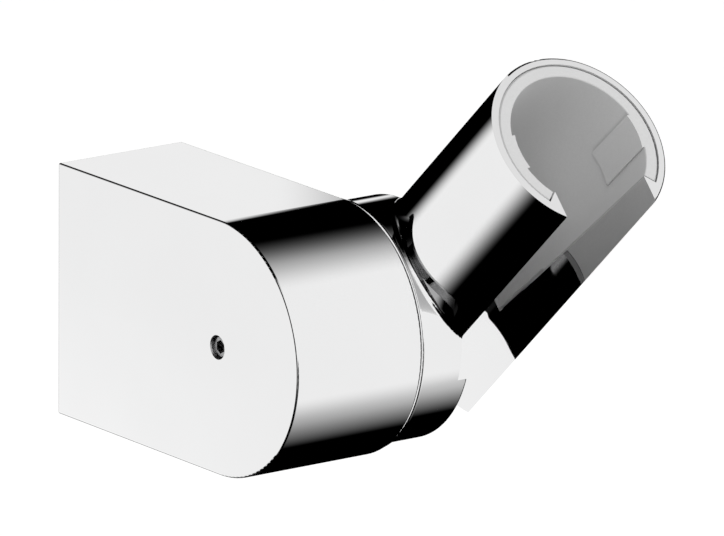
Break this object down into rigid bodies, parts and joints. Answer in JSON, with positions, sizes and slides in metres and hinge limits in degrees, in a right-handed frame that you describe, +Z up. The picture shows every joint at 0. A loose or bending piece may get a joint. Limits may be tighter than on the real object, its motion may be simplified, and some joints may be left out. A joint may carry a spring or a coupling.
{
  "type": "hand shower holder",
  "caption": "Wall holder for a hand shower: D-shaped chromed wall body with a tilting disc and a slotted tube whose grey conical lining takes the hose nut.",
  "frame": {"origin": "on the wall, in the middle of the wall body's back", "axes": "+X along the wall towards the tilting head, +Y into the wall, +Z up"},
  "size_m": [0.0575, 0.0922, 0.0683],
  "materials": {
    "chrome": "polished",
    "lining_plastic": "fine satin",
    "screw_steel": "plain",
    "brass": "turned",
    "bush_plastic": "plain",
    "glide_plastic": "smooth",
    "seal_rubber": "smooth",
    "axle_steel": "turned",
    "bracket_steel": "plain"
  },
  "bodies": {
    "wall_body": {"body_shell": "chrome", "adjusting_screw": "screw_steel", "side_thread_insert": "brass", "brake_pad": "bush_plastic", "bracket_lock_screw": "screw_steel", "lock_thread_insert": "brass", "wall_bracket": "bracket_steel", "axle_bush_inner": "bush_plastic", "axle_bush_outer": "bush_plastic", "glide_ring": "glide_plastic", "seal_ring": "seal_rubber", "stop_pin": "axle_steel"},
    "tilting_head": {"tilt_head": "chrome", "cone_insert": "lining_plastic", "pivot_axle": "axle_steel", "drive_pin": "axle_steel", "pressure_washer": "axle_steel", "disc_spring_outer": "axle_steel", "disc_spring_inner": "axle_steel", "axle_nut": "axle_steel"}
  },
  "joints": [
    {"name": "head_tilt", "type": "hinge", "parent": "wall_body", "child": "tilting_head", "pos_m": [0.0128, -0.045, 0], "axis": [1, 0, 0], "range_deg": [-45, 45]}
  ]
}
